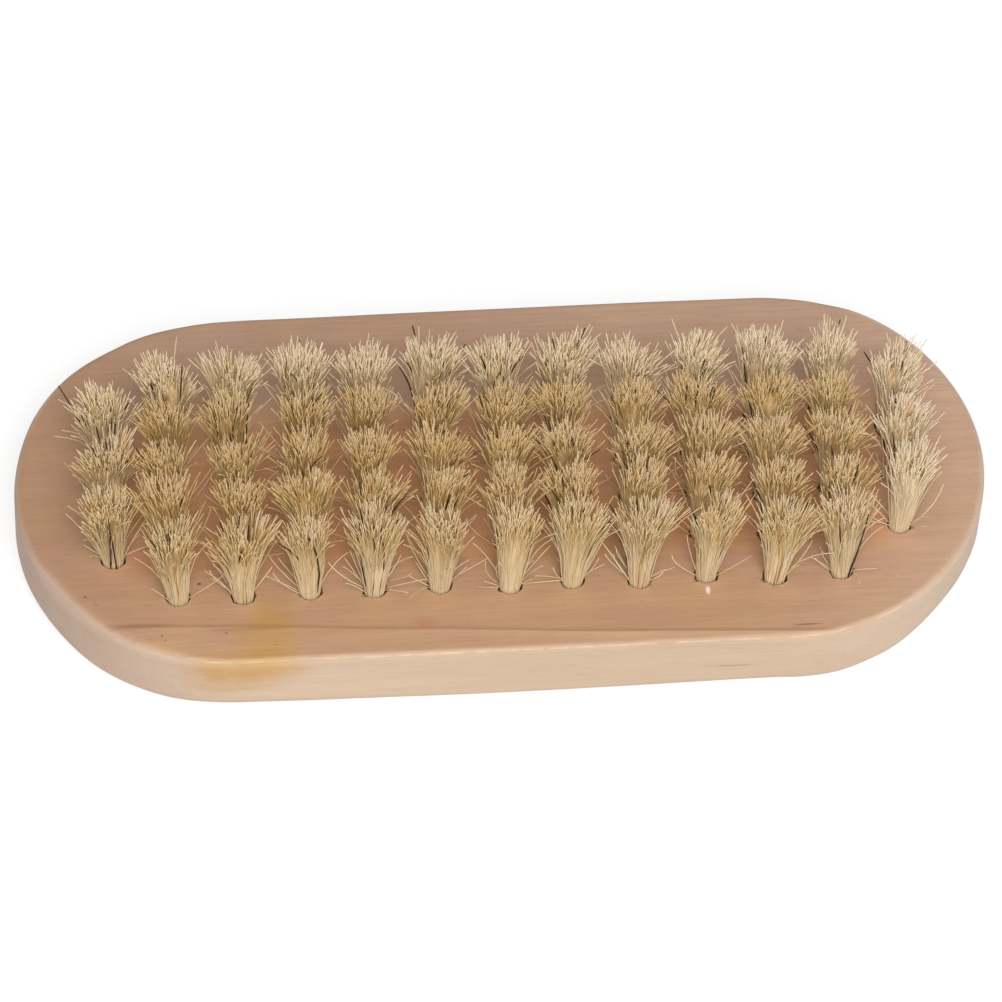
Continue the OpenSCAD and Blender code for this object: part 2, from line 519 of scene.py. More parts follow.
# Painted bounce light: amid the tufts the face is lighter and redder, which lifts the shade
# there
amid = sum_of(tree, "ABSOLUTE", sum_of(tree, "SUBTRACT", axes["Y"], FIELD_MIDDLE_Y))
amid = ramp(tree, amid, 9 * MM, 14 * MM, 0.75, 0.0, smooth=True)
amid_x = ramp(tree, sum_of(tree, "ABSOLUTE", axes["X"]), 44 * MM, 51 * MM, 1.0, 0.0, smooth=True)
colour = mixed(tree, product(tree, amid, amid_x), colour, FIELD_BOUNCE_LIGHT)
left_share = ramp(tree, axes["X"], -42 * MM, -58 * MM, smooth=True)
colour = mixed(tree, left_share, colour, FACE_SHADED_LEFT)

# The side is paler, partly its own colour and partly painted light from the front, up to
# where the edge rounds over, and further where it is worn
below = sum_of(tree, "SUBTRACT", face_z - 0.1 * MM, axes["Z"])
below = sum_of(tree, "MULTIPLY_ADD", far_share, -1.2 * MM, below)
side_share = ramp(tree, below, 0.0, 0.6 * MM, smooth=True)
worn_end = ramp(tree, axes["X"], -56 * MM, -36 * MM, 0.2 * MM, 0.0, smooth=True)
worn_end = product(tree, worn_end, ramp(tree, axes["Y"], -12 * MM, -2 * MM, 1.0, 0.0))
in_from_edge = sum_of(tree, "SUBTRACT", outline, worn_end)
in_from_edge = ramp(tree, in_from_edge, 0.2 * MM, 0.9 * MM, 1.0, 0.0, smooth=True)
side_share = sum_of(tree, "MAXIMUM", side_share, product(tree, in_from_edge, 0.7))
in_bore = ramp(tree, outline, 6 * MM, 7 * MM, 1.0, 0.0)
side_share = product(tree, side_share, in_bore)

# Soft mottling, and over it the colours of the side
mottle = soft_patches(tree, spot, (130.0, 330.0, 330.0), 3.2)
colour = mixed(tree, 0.36, colour, mixed(tree, mottle, ROSY_TAN, HONEY_TAN))
# Painted light on the side too: darker to the left and paler to the right, as from a light on
# the right
side_colour = mixed(tree, ramp(tree, axes["X"], -34 * MM, -58 * MM), SIDE_PALE_AND_LIT, SIDE_SHADED_LEFT)
side_colour = mixed(tree, ramp(tree, axes["X"], 30 * MM, 56 * MM), side_colour, SIDE_LIT_RIGHT)
colour = mixed(tree, side_share, colour, side_colour)

# Most of the grain is weaker on the side, and the growth line isn't there at all
off_side = sum_of(tree, "SUBTRACT", 1.0, side_share)
on_face = sum_of(tree, "MULTIPLY_ADD", side_share, -0.6, 1.0)
fleck_share = sum_of(tree, "MULTIPLY_ADD", side_share, -0.1, 0.2)
early_share = ramp(tree, lines["Early wood"], 0.0, 1.0, 0.0, 0.45)
early_share = product(tree, early_share, ramp(tree, axes["X"], -12 * MM, 8 * MM))
for pattern, share, tint in (
    (early_share, off_side, EARLY_PALE),
    (patches, 0.16, LATE_BROWN),
    (product(tree, lines["Late wood"], 0.22), off_side, LATE_BROWN),
    (product(tree, off_side, 0.4), lines["Line"], FLECK_BROWN),
    (ramp(tree, broad, 0.35, 0.7, 0.0, 0.22), on_face, LATE_BROWN),
    (ramp(tree, fine, 0.38, 0.68, 0.0, 0.2), on_face, LATE_BROWN),
    (flecks, fleck_share, FLECK_BROWN),
):
    colour = mixed(tree, product(tree, pattern, share), colour, tint)

# %% [markdown]
# The worn corner is a thin pale line along the near edge, broken where the wood kept its
# colour: partly wear, and partly a painted highlight where the rounded edge meets the light.
# It sits where the surface is both near the outline and near the face.

# %% Worn corner with its painted highlight, stains and specks
worn = ramp(tree, outline, 0.1 * MM, 0.42 * MM, 1.0, 0.0, smooth=True)
worn_high = ramp(tree, axes["Z"], face_z - 0.5 * MM, face_z - 0.25 * MM, smooth=True)
worn = product(tree, worn, worn_high)
broken = streaks(tree, spot, (420.0, 420.0, 420.0), detail=2.0)
worn = product(tree, worn, ramp(tree, broken, 0.4, 0.6))
colour = mixed(tree, product(tree, worn, 0.6), colour, WORN_PALE_HIGHLIGHT)

MARKS = (
    # middle, radii in mm, strength, colour, how it mixes
    ((-29.5, -19.0, 10.0), (3.4, 4.6, 2.5), 0.6, STAIN_YELLOW, "MULTIPLY"),
    ((-30.0, -22.6, 10.0), (5.2, 5.4, 2.5), 0.9, STAIN_YELLOW, "MULTIPLY"),
    ((-33.0, -25.8, 8.8), (9.5, 3.0, 2.8), 0.7, STAIN_YELLOW, "MULTIPLY"),
    ((-33.0, -26.5, 7.9), (10.5, 4.0, 3.0), 0.75, STAIN_ORANGE, "MULTIPLY"),
    ((-34.5, -26.5, 6.0), (9.5, 4.0, 3.7), 0.5, STAIN_ORANGE, "MULTIPLY"),
    ((-11.0, -21.9, 10.0), (1.8, 1.1, 1.0), 0.5, STAIN_ORANGE, "MULTIPLY"),
    ((-45.5, -20.5, 10.0), (6.0, 0.5, 1.0), 0.4, FLECK_BROWN, "MIX"),
    ((-33.0, -21.6, 10.0), (7.5, 0.4, 1.0), 0.25, FLECK_BROWN, "MIX"),
    ((35.3, -24.7, 10.0), (2.4, 0.16, 1.0), 0.6, SPECK_DARK, "MIX"),
    ((26.2, -26.5, 4.5), (3.8, 1.0, 0.3), 0.45, LATE_BROWN, "MIX"),
    ((23.7, -19.0, 10.0), (0.42, 0.8, 0.3), 0.95, SPECK_PINK, "MIX"),
)
SPECKS = (
    # X and Y of the middle on the face, radii, all in mm, and strength
    (-38.1, -14.6, 0.38, 0.30, 0.8), (-52.0, -15.8, 0.30, 0.26, 0.6),
    (-50.7, -17.0, 0.30, 0.24, 0.35), (-43.0, -22.0, 0.24, 0.24, 0.5),
    (-42.6, -22.7, 0.22, 0.20, 0.45), (-35.2, -22.0, 0.26, 0.22, 0.5),
)
for x, y, wide, deep, strength in SPECKS:
    MARKS += (((x, y, 10.0), (wide, deep, 0.3), strength, SPECK_DARK, "MIX"),)
wobble = streaks(tree, spot, (330.0, 330.0, 330.0), detail=3.0)
shift = add(tree, "VectorMath", {0: (1.0, 1.0, 1.0), "Scale": wobble}, operation="SCALE")
for middle, radii, strength, tint, way in MARKS:
    reach = 0.6 * MM * np.array(radii)
    pushed = vector_of(tree, "MULTIPLY", shift.outputs["Vector"], reach.tolist())
    mask = placed_group(tree, spot_group, {
        "Vector": vector_of(tree, "ADD", spot, pushed),
        "Middle": (np.array(middle) * MM + reach / 2).tolist(),
        "Radii": [v * MM for v in radii],
        "Softness": 0.7,
    })["Mask"]
    colour = mixed(tree, product(tree, mask, strength), colour, tint, way)
plug(tree, colour, shader.inputs["Base Color"])

# %% [markdown]
# Sanded bare wood is nearly matt, and its roughness follows the fine streaks a little. The
# streaks and flecks also stand a few hundredths of a millimetre proud or sunk, which a
# Bump node shows without more mesh.

# %% Wood finish
rough = ramp(tree, fine, 0.3, 0.7, 0.56, 0.72)
plug(tree, rough, shader.inputs["Roughness"])
shader.inputs["Specular IOR Level"].default_value = 0.3
relief = sum_of(tree, "MULTIPLY_ADD", flecks, -0.6, fine)
add_bump(tree, shader, relief, 0.35, 0.05 * MM)
print("wood material:", len(tree.nodes), "nodes")

# %% [markdown]
# ## The block
#
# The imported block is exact, but hand-sanded wood is not: its corners are crisp along the
# front, worn round at the left end, and eased under the ends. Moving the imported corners
# is not allowed, and bevels have one width, so the block is drawn again around the same
# outline, as a section carried round it. A point on the outline is a point of the middle
# line plus the half width along the direction that faces out, so a point a little further
# in only takes less of it.

# %% Outline of the block
AROUND_BLOCK = 480
arc_end = math.pi * half_width
knots = np.cumsum([0, arc_end, 2 * straight, arc_end, 2 * straight])
at = (np.arange(AROUND_BLOCK) + 0.5) / AROUND_BLOCK * knots[-1]
heading = np.radians(np.interp(at, knots, [-90, 90, 90, 270, 270]))
middle_x = np.interp(at, knots, np.array([1, 1, -1, -1, 1]) * straight)
facing = directions(heading)
outline_xy = np.column_stack([middle_x, np.zeros(AROUND_BLOCK)]) + half_width * facing


def smooth_list(knots):
    """Value round the outline from a short list of (X, value), both in mm: between two
    knots it eases along a smooth S, 3 s squared less 2 s cubed."""
    x, value = np.array(knots).T
    here = outline_xy[:, 0] / MM
    k = np.clip(np.searchsorted(x, here) - 1, 0, len(x) - 2)
    s = np.clip((here - x[k]) / (x[k + 1] - x[k]), 0, 1)
    return value[k] + (value[k + 1] - value[k]) * s * s * (3 - 2 * s)


# Radius of the corner at the face, along the near side and along the far side
FACE_NEAR_R = ((-60, 1.3), (-56, 2.6), (-45, 1.5), (-36, 0.8), (46, 0.8), (56, 1.3), (60, 1.1))
FACE_FAR_R = ((-60, 1.3), (-57, 0.6), (-50, 1.2), (-40, 1.0), (40, 0.9), (50, 0.6), (60, 1.1))
# Radius of the lower corner
BACK_NEAR_R = (
    (-60, 2.3), (-57, 2.6), (-50, 1.6), (-44, 1.7), (-36, 2.3), (-22, 1.7), (0, 1.5),
    (31, 2.1), (40, 1.6), (45, 2.1), (54, 4.0), (57, 3.9), (60, 2.4),
)
BACK_FAR_R = ((-60, 2.3), (-50, 1.5), (50, 1.5), (60, 2.4))
# The far edge lies this much further in, as the outline in the photograph does
SET_IN = (
    (-60, 0), (-53, 0.05), (-46, 0.55), (-38, 0.85), (-29, 0.62), (-10, 0.5), (10, 0.45),
    (37, 0.5), (42, 0.35), (47, 0.02), (60, 0),
)
near = outline_xy[:, 1] < 0
waver = 1 + 0.04 * np.sin(at / (9 * MM)) + 0.025 * np.sin(at / (4.3 * MM) + 1)
face_round = np.where(near, smooth_list(FACE_NEAR_R), smooth_list(FACE_FAR_R)) * waver * MM
back_round = np.where(near, smooth_list(BACK_NEAR_R), smooth_list(BACK_FAR_R)) * waver * MM
set_in = np.where(near, 0, smooth_list(SET_IN)) * MM
corner_mm = (face_round / MM).round(2)
print("corner at the face:", corner_mm.min(), "to", corner_mm.max(), "mm")

# %% [markdown]
# The section runs from the face, round its corner, down the side and round the lower
# corner. Each row of it is a pair: how far in from the outline, and how high.

# %% Skin of the block
CORNER_STEPS = 9
SIDE_STEPS = 6
quarter = np.linspace(0, np.pi / 2, CORNER_STEPS)[:, None]
upper_in = face_round * (1 - np.sin(quarter))
upper_z = face_z - face_round * (1 - np.cos(quarter))
lower_in = back_round * (1 - np.cos(quarter))
lower_z = back_round * (1 - np.sin(quarter))
down = np.linspace(0, 1, SIDE_STEPS + 2)[1:-1, None]
side_z = upper_z[-1] * (1 - down) + lower_z[0] * down
row_in = np.concatenate([upper_in, np.zeros_like(side_z), lower_in])
row_z = np.concatenate([upper_z, side_z, lower_z])
row_xy = outline_xy - (row_in + set_in)[..., None] * facing
skin = np.concatenate([row_xy, row_z[..., None]], axis=2)
rows = len(skin)
skin_faces = ring_faces(rows, AROUND_BLOCK)[:, [0, 3, 2, 1]]
print("skin:", rows, "rows of", AROUND_BLOCK)

# %% [markdown]
# The face is flat with 61 holes, which no grid fits. A Delaunay triangulation fills any
# outline with well-shaped triangles: it gets the rim of the face, the rims of the bores
# and an even grid of points between them. Triangles inside a bore are then left out.
#
# A drill tears the grain where it meets it from the side, so every rim has a nick or two
# at its left and right, widest at the face and gone a little below it. It also leaves a
# burr: the rim stands a few hundredths of a millimetre proud, and catches the light.

# %% Face and bores
from mathutils.geometry import delaunay_2d_cdt

BORE_R = 1.5 * MM
BORE_FLOOR = 3 * MM
RIM_POINTS = 40
TEAR_DEPTH = 0.3 * MM
BURR_WIDTH = 0.25 * MM
BURR_HEIGHT = 0.07 * MM
NICK_MM = 0.16
LONGEST_NICK = 0.6 * MM
NICK_TURN = 0.16
GRID = 1.6 * MM
chips = np.random.default_rng(17)
bore_xy = np.concatenate([bores[name] for name in columns])
rim_angle = np.arange(RIM_POINTS) * 2 * np.pi / RIM_POINTS
rim_way = directions(rim_angle)


def rim_radii():
    """Radius round each bore's rim: the drill's, a little chance, and near each of the
    two directions along the grain two narrow nicks of chance length."""
    count = len(bore_xy)
    radius = BORE_R + 0.02 * MM + chips.normal(0, 0.015, (count, RIM_POINTS)) * MM
    for way in (0.0, 0.0, np.pi, np.pi):
        middle = way + chips.normal(-0.2 * np.cos(way), 0.35, (count, 1))
        apart = np.angle(np.exp(1j * (rim_angle[None] - middle)))
        length = np.minimum(chips.exponential(NICK_MM, (count, 1)) * MM, LONGEST_NICK)
        radius = radius + length * np.exp(-((apart / NICK_TURN) ** 2))
    return radius


torn = rim_radii()
rims = bore_xy[:, None] + torn[..., None] * rim_way[None]
burr = bore_xy[:, None] + (torn[..., None] + BURR_WIDTH) * rim_way[None]
grid_x, grid_y = np.meshgrid(
    np.arange(-straight - half_width, straight + half_width, GRID),
    np.arange(-half_width, half_width, GRID * math.sqrt(3) / 2),
)
grid_x = grid_x + (np.arange(len(grid_x))[:, None] % 2) * GRID / 2
grid = np.stack([grid_x.ravel(), grid_y.ravel()], axis=1)
beyond = np.maximum(np.abs(grid[:, 0]) - straight, 0)
room = half_width - np.hypot(beyond, grid[:, 1])
from_bores = np.hypot(*(grid[:, None] - bore_xy[None]).transpose(2, 0, 1)).min(axis=1)
grid = grid[(room > face_round.max() + GRID / 2) & (from_bores > BORE_R + 1.3 * MM)]
flat_points = np.concatenate([skin[0, :, :2], rims.reshape(-1, 2), burr.reshape(-1, 2), grid])
k = np.arange(RIM_POINTS)[None]
bore_first = np.arange(len(bore_xy))[:, None] * RIM_POINTS
first = AROUND_BLOCK + bore_first
loops = [list(range(AROUND_BLOCK)), *(first + k).tolist()]
points = [Vector(point) for point in flat_points.tolist()]
filled = delaunay_2d_cdt(points, [], loops, 1, 1e-9)
came_from = np.array([source[0] for source in filled[3]])
in_face = np.array([max(loop) == 0 for loop in filled[5]])
face_tris = came_from[np.array(filled[2])][in_face]
print("face:", len(flat_points), "points,", len(face_tris), "triangles")

# %% [markdown]
# The bores are three rings deep: the torn rim, the true bore a little below it, and the
# same circle at the floor. One face closes each floor, and one closes the flat back.

# %% One closed block
top_count = len(flat_points)
skin_rest = skin[1:].reshape(-1, 3)
bore_rings = bore_xy[:, None] + BORE_R * rim_way[None]
upper_ring = np.concatenate(
    [bore_rings, np.full((*bore_rings.shape[:2], 1), face_z - TEAR_DEPTH)], axis=2
)
floor_ring = upper_ring.copy()
floor_ring[..., 2] = BORE_FLOOR
flat_xyz = np.column_stack([flat_points, np.full(top_count, face_z)])
raised = BURR_HEIGHT * chips.random((len(bore_xy), RIM_POINTS))
flat_xyz[first + k, 2] += raised
block_points = np.concatenate(
    [flat_xyz, skin_rest, upper_ring.reshape(-1, 3), floor_ring.reshape(-1, 3)]
)
moved = np.where(skin_faces < AROUND_BLOCK, skin_faces, skin_faces - AROUND_BLOCK + top_count)
second = top_count + len(skin_rest) + bore_first
third = second + len(bore_xy) * RIM_POINTS
k_after = (k + 1) % RIM_POINTS
walls = [
    np.stack([above + k_after, below + k_after, below + k, above + k], axis=-1).reshape(-1, 4)
    for above, below in ((first, second), (second, third))
]
floors = third + k
last_row = top_count + len(skin_rest) - AROUND_BLOCK + np.arange(AROUND_BLOCK)[::-1]
block_faces = [*moved.tolist(), *face_tris.tolist(), *walls[0].tolist(), *walls[1].tolist()]
block_faces += [*floors.tolist(), last_row.tolist()]
mesh = bpy.data.meshes.new("wooden_body")
mesh.from_pydata(block_points.tolist(), [], block_faces)
mesh.shade_smooth()
mesh.set_sharp_from_angle(angle=math.radians(32))
mesh.materials.append(wood)
block = in_scene("wooden_body", mesh)
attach(block, "root")
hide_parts("wooden_block")
print("block:", len(mesh.vertices), "corners,", len(mesh.polygons), "faces")

# %% [markdown]
# ## The wire anchors
#
# Each anchor is a short piece of flat wire, cut from a coil and driven into the bore over
# the fold of the bristles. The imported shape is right, so it only needs its metal: pale,
# with fine marks along the wire from drawing it, and duller in patches.

# %% Wire material
WIRE_PALE = paint(196, 192, 184)
WIRE_DULL = paint(150, 146, 138)

wire, tree, shader = new_material("anchor_wire")
spot = add(tree, "TexCoord").outputs["Object"]
drawn = streaks(tree, spot, (9000.0, 500.0, 9000.0), detail=2.0)
dull = soft_patches(tree, spot, (900.0, 900.0, 900.0), 2.0)
colour = mixed(tree, dull, WIRE_PALE, WIRE_DULL)
plug(tree, colour, shader.inputs["Base Color"])
shader.inputs["Metallic"].default_value = 1.0
plug(tree, ramp(tree, drawn, 0.3, 0.7, 0.28, 0.5), shader.inputs["Roughness"])
add_bump(tree, shader, drawn, 0.3, 0.01 * MM)
for name in columns:
    slots = nodes["anchors_" + name].data.materials
    for number in range(len(slots)):
        slots[number] = wire
    if not len(slots):
        slots.append(wire)

# %% [markdown]
# ## Bristles
#
# A tuft is a bundle of stiff hairs, bent double over the anchor and pulled into the bore.
# So each hair is one long U with both its cut ends up: down one side of the wire, under
# it, and up the other side. Hair particles would be quick, but they have no ends, no fold
# and no mesh to keep. Here each hair is a thin tube with four sides, worked out for a
# whole column at once.
#
# First the path. The feet fill the bore like the seeds of a sunflower, which packs a
# circle evenly. The half to the left of the wire is paired with the half to the right in
# the order of Y, so that the folds lie side by side. Above the face the hairs run close
# together like a sheaf, and open only higher up, wider along the block than across it,
# because that is how the wire parts them. The outer ones lean out and end lower, and the
# cut ends fray in all directions.

# %% Sizes of a tuft
PAIRS = 150
HAIR_R = 0.076 * MM
HAIR_SPREAD = (0.75, 1.15)
TIP_THINNER = 0.3
CUT_SLANT = 0.7
FOOT_R = 1.28 * MM
LENGTH = 15.3 * MM
TOP = cad_high.z - 0.03 * MM
FOLD_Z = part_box("anchors_01")[0].z
WIRE_HALF = 0.175 * MM
GOLDEN = math.pi * (3 - math.sqrt(5))
LOCKS = 7
LOCK_SPREAD = (0.8 * MM, 0.6 * MM)
LOCK_CUT = 0.13
# Each pair holds shares of the foot's distance from the middle of the bore, along the
# block and across it: how far a straight hair leans out, how far it opens, and how much
# further the hairs at the rim of the bore open
LEAN_OUT = np.array([0.6, 0.35])
OPENS = np.array([0.7, 0.35])
RIM_OPENS = np.array([0.6, 0.4])
FRAY_SPREAD = (0.9 * MM, 0.8 * MM)
BOW_SPREAD = (0.2 * MM, 0.2 * MM, 0)
# How far the sheaf of a tuft opens, and how late: the power of the share of its height
OPENING = (0.69, 1.22)
BEND = (1.6, 2.5)
# Shares of the length by which hairs end early: by chance, at the rim, and short ones
CUT_SPREAD = 0.03
RIM_CUT = 0.12
SHORT_CUT = (0.04, 0.4)
KICK_MM = (0.8, 3.0)
LOW_DEGREES = (32, 75)
# Which part of the hairs is pushed aside, is short, may lie low, is dark, is ginger
KICKED_PART = 0.1
SHORT_PART = 0.1
LOW_PART = 0.15
DARK_PART = 0.012
GINGER_PART = 0.02
# How far the tips of each column lean, from left to right
LEAN_X = np.array([-1.2, -0.9, -0.6, 0.1, 0.3, 0.8, 0.4, 0.3, 0.5, 0.9, 1.2, 0.2, 0.7]) * MM
LEAN_Y = np.array([-0.4, -0.1, 0.4, 0.7, 0.8, 0.7, 0.9, 0.7, 0.8, 0.7, 1.0, 0.7, 0.5]) * MM
luck = np.random.default_rng(61)


# %% Paths of the bristles
def tuft_feet(count, turn):
    """Sunflower: foot k lies at the root of its share of the area, turned by k golden
    angles. The left half and the right half come back apart, each in the order of Y."""
    k = np.arange(count)
    radius = FOOT_R * np.sqrt((k + 0.5) / count)
    feet = radius[:, None] * directions(k * GOLDEN + turn)
    feet = feet[np.argsort(feet[:, 0])]
    left, right_side = feet[: count // 2], feet[count // 2 :]
    return left[np.argsort(left[:, 1])], right_side[np.argsort(right_side[:, 1])]


def tips_of(feet, lean, opening):
    """A tip lies out from the tuft's middle as its foot does, plus the tuft's lean. Come
    back apart, since each bends another part of the hair: the tip on a straight line, how
    far the sheaf opens at the tip, and how far chance frays it. Neighbours hold together
    in locks, which part from each other and end at their own heights. The outer and the
    short bristles end lower on the same way. A few were pushed flat: they leave low,
    away from the middle."""
    count = len(feet)
    out = np.hypot(feet[:, 0], feet[:, 1]) / FOOT_R
    opened = opening * feet * (OPENS + RIM_OPENS * out[:, None] ** 2)
    straight_on = feet * LEAN_OUT + lean
    centres = luck.uniform(-1.1, 1.1, (LOCKS, 2)) * FOOT_R
    lock = np.hypot(*(feet[:, None] - centres[None]).transpose(2, 0, 1)).argmin(axis=1)
    opened += (luck.normal(0, 1, (LOCKS, 2)) * LOCK_SPREAD)[lock]
    frayed = luck.normal(0, 1, (count, 2)) * FRAY_SPREAD
    way = luck.uniform(0, 2 * np.pi, count)
    kick = (luck.random(count) < KICKED_PART) * luck.uniform(*KICK_MM, count) * MM
    frayed += kick[:, None] * directions(way)
    aside = ((straight_on + opened + 0.8 * frayed) ** 2).sum(axis=1)
    rise = np.sqrt(np.maximum(LENGTH**2 - aside, (6 * MM) ** 2)) * (1 - luck.uniform(0, 0.05))
    short = luck.uniform(*SHORT_CUT, count) * (luck.random(count) < SHORT_PART)
    ends = luck.uniform(0, LOCK_CUT, LOCKS)[lock]
    left_of = 1 - np.abs(luck.normal(0, CUT_SPREAD, count)) - short - ends - RIM_CUT * out**3
    tips = np.column_stack([straight_on, rise]) * left_of[:, None]
    low = luck.random(count) < LOW_PART * (out > 0.8) * (feet[:, 1] > -0.4 * FOOT_R)
    height = np.radians(luck.uniform(*LOW_DEGREES, count))
    away = np.arctan2(feet[:, 1], feet[:, 0]) + luck.normal(0, 0.5, count)
    flat = np.cos(height)[:, None] * directions(away)
    reach = (2.5 + 6.0 * luck.random(count) * height) * MM
    low_tips = np.column_stack([flat, np.sin(height)]) * reach[:, None]
    tips = np.where(low[:, None], low_tips, tips)
    tips[:, :2] += feet
    tips[:, 2] = np.minimum(tips[:, 2] + face_z, TOP - 0.1 * MM)
    frayed *= np.where(low, 0.12 * reach / MM, left_of)[:, None]
    return tips, opened * (left_of * ~low)[:, None], frayed


RISE_SHARE = np.array([1.0, 0.86, 0.68, 0.38, 0.0])


def hair_paths(left, right_side, bend):
    """Rings of each hair from the left tip to the right tip: five above the face on each
    side with a slight bow, then one beside the wire and one under it. Each half is its
    feet and what tips_of gave for them."""
    count = len(left[0])
    share = RISE_SHARE[:, None]
    sides = []
    for feet, (tips, opened, frayed) in (left, right_side):
        root = np.column_stack([feet, np.full(count, face_z)])
        line = root[:, None] + share * (tips - root)[:, None]
        line[..., :2] += share**bend * opened[:, None]
        line[..., :2] += share**3 * frayed[:, None]
        bow = luck.normal(0, 1, (count, 3)) * BOW_SPREAD
        bow *= ((tips[:, 2] - face_z) / LENGTH)[:, None]
        line += 4 * share * (1 - share) * bow[:, None]
        sides.append(line)
    left, right_side = left[0], right_side[0]
    depth = np.abs(np.concatenate([left[:, :1], -right_side[:, :1]], axis=1)).mean(axis=1)
    hug = WIRE_HALF + HAIR_R + 0.5 * depth
    y = (left[:, 1] + right_side[:, 1]) / 2
    beside = np.full(count, FOLD_Z + 0.35 * MM)
    under = FOLD_Z - HAIR_R - 0.35 * depth
    low_left = np.column_stack([-hug, (left[:, 1] + y) / 2, beside])
    low_right = np.column_stack([hug, (right_side[:, 1] + y) / 2, beside])
    bottom = np.column_stack([np.zeros(count), y, under])
    fold = np.stack([low_left, bottom, low_right], axis=1)
    return np.concatenate([sides[0], fold, sides[1][:, ::-1]], axis=1)


# %% [markdown]
# Some single bristles catch the eye: dark ones that stick out of the crowd, and pale ones
# that lie low over the wood at the front. Each is named by its column, its tuft from the
# front, where its tip is from the middle of the bore, and how dark it is. The bristle
# whose foot already looks that way is bent to it.

# %% Bristles that stand out
STANDING_OUT = (
    ("left_end", 2, (-5.8, 1.4, 13.6), 1.0),
    ("left_end", 0, (-0.6, -4.2, 14.3), 1.0),
    ("left_end", 1, (-2.2, 4.4, 14.0), 1.0),
    ("left_end", 0, (-3.5, 1.2, 1.7), 0.0),
    ("left_end", 0, (5.0, 1.0, 1.6), 0.0),
    ("01", 4, (1.6, -1.0, 14.8), 1.0),
    ("02", 0, (-0.4, 1.2, 14.9), 1.0),
    ("02", 0, (-4.7, 2.2, 6.8), 0.0),
    ("02", 0, (3.6, 1.6, 3.4), 0.0),
    ("06", 0, (6.2, -0.8, 1.6), 0.0),
    ("06", 0, (-4.1, -0.6, 0.7), 0.0),
    ("07", 0, (4.0, 1.0, 1.5), 0.0),
    ("11", 0, (1.9, -2.4, 14.6), 1.0),
)


def bend_to(sides, dark, tip, darkness):
    """Gives one bristle the wanted tip. sides holds, for the left and the right half, the
    feet and what tips_of gave for them."""
    half = int(tip[0] > 0)
    feet, (tips, opened, frayed) = sides[half]
    chosen = np.argmax(feet @ np.array(tip[:2]) - (dark > 0) * MM)
    tips[chosen] = np.array(tip) * MM + np.array([0, 0, face_z])
    opened[chosen] = 0
    frayed[chosen] = 0
    dark[chosen] = darkness


# %% [markdown]
# Then the tube. At each ring the tangent of the path and two directions square to it
# carry a small square. The end rings are a little thinner, and slanted by the cut.

# %% Tubes along the paths
SIDES = 4


def tubes(paths, radii, turns, slant):
    """Points of a tube round each path: the path's point plus the radius times the
    cosine and sine of the corner's angle along the two directions square to the path."""
    tangent = np.gradient(paths, axis=1)
    tangent /= np.linalg.norm(tangent, axis=2, keepdims=True)
    across = np.cross(tangent, np.array([0.0, 1.0, 0.0]))
    across /= np.linalg.norm(across, axis=2, keepdims=True)
    beside = np.cross(tangent, across)
    angle = turns[:, None, None] + np.arange(SIDES) * 2 * np.pi / SIDES
    reach = radii[:, :, None, None]
    rings = paths[:, :, None] + reach * np.cos(angle)[..., None] * across[:, :, None]
    rings = rings + reach * np.sin(angle)[..., None] * beside[:, :, None]
    cut = slant[:, None, None] * np.cos(angle[:, 0])[..., None]
    rings[:, 0] += cut * tangent[:, None, 0]
    rings[:, -1] += cut * tangent[:, None, -1]
    return rings


def tube_faces(hairs, rings):
    """Four corners of each wall face, then one cap for each end, hair by hair."""
    first = np.arange(hairs)[:, None] * rings * SIDES
    walls = (first[..., None] + ring_faces(rings, SIDES)).reshape(-1, 4)
    start = first + np.arange(SIDES)[::-1]
    finish = first + (rings - 1) * SIDES + np.arange(SIDES)
    return np.concatenate([walls, start, finish])


# %% [markdown]
# Each point also remembers which hair it is on and how far along, so that the material
# can colour whole hairs: cream at the foot, golden higher up as painted shade deep in the
# tuft, and paler again at the cut tip, one in fifty ginger and one in eighty dark brown.
# The outer tufts get painted light instead: less of the golden painted shade and paler
# tips, so those of the back row and of the right end stay cream nearly all the way up.
# Their shine is faint.

# %% Bristle material
CREAM = paint(237, 215, 168)
PALE_CREAM = paint(249, 235, 208)
GOLD = paint(216, 184, 118)
TIP_PALE = paint(250, 227, 207)
GRIME = paint(184, 142, 92)
GINGER = paint(194, 136, 76)
DARK_BROWN = paint(66, 48, 36)

bristle, tree, shader = new_material("natural_bristle")
spot = add(tree, "TexCoord").outputs["Object"]
tone = attribute(tree, "tone")
along = attribute(tree, "along")
dark = attribute(tree, "dark")
streak = streaks(tree, spot, (4000.0, 4000.0, 400.0), detail=2.0)
tone = sum_of(tree, "ADD", tone, ramp(tree, streak, 0.3, 0.7, -0.2, 0.2), clamp=True)
colour = mixed(tree, tone, CREAM, PALE_CREAM)
shade_share = attribute(tree, "shade_share")
# Golden higher up is painted shade deep in the tuft, strongest in the inner tufts; the cut tips
# are paler in the outer tufts, as painted light
gold = ramp(tree, along, 0.22, 0.65, 0.28, 0.9, smooth=True)
colour = mixed(tree, product(tree, gold, shade_share), colour, GOLD)
tip = ramp(tree, along, 0.72, 0.98, 0.0, 0.75, smooth=True)
tip = product(tree, tip, sum_of(tree, "MULTIPLY_ADD", shade_share, -0.5, 1.0))
colour = mixed(tree, tip, colour, TIP_PALE)
grime = soft_patches(tree, spot, (300.0, 300.0, 120.0), 1.8)
colour = mixed(tree, product(tree, grime, 0.15), colour, GRIME)
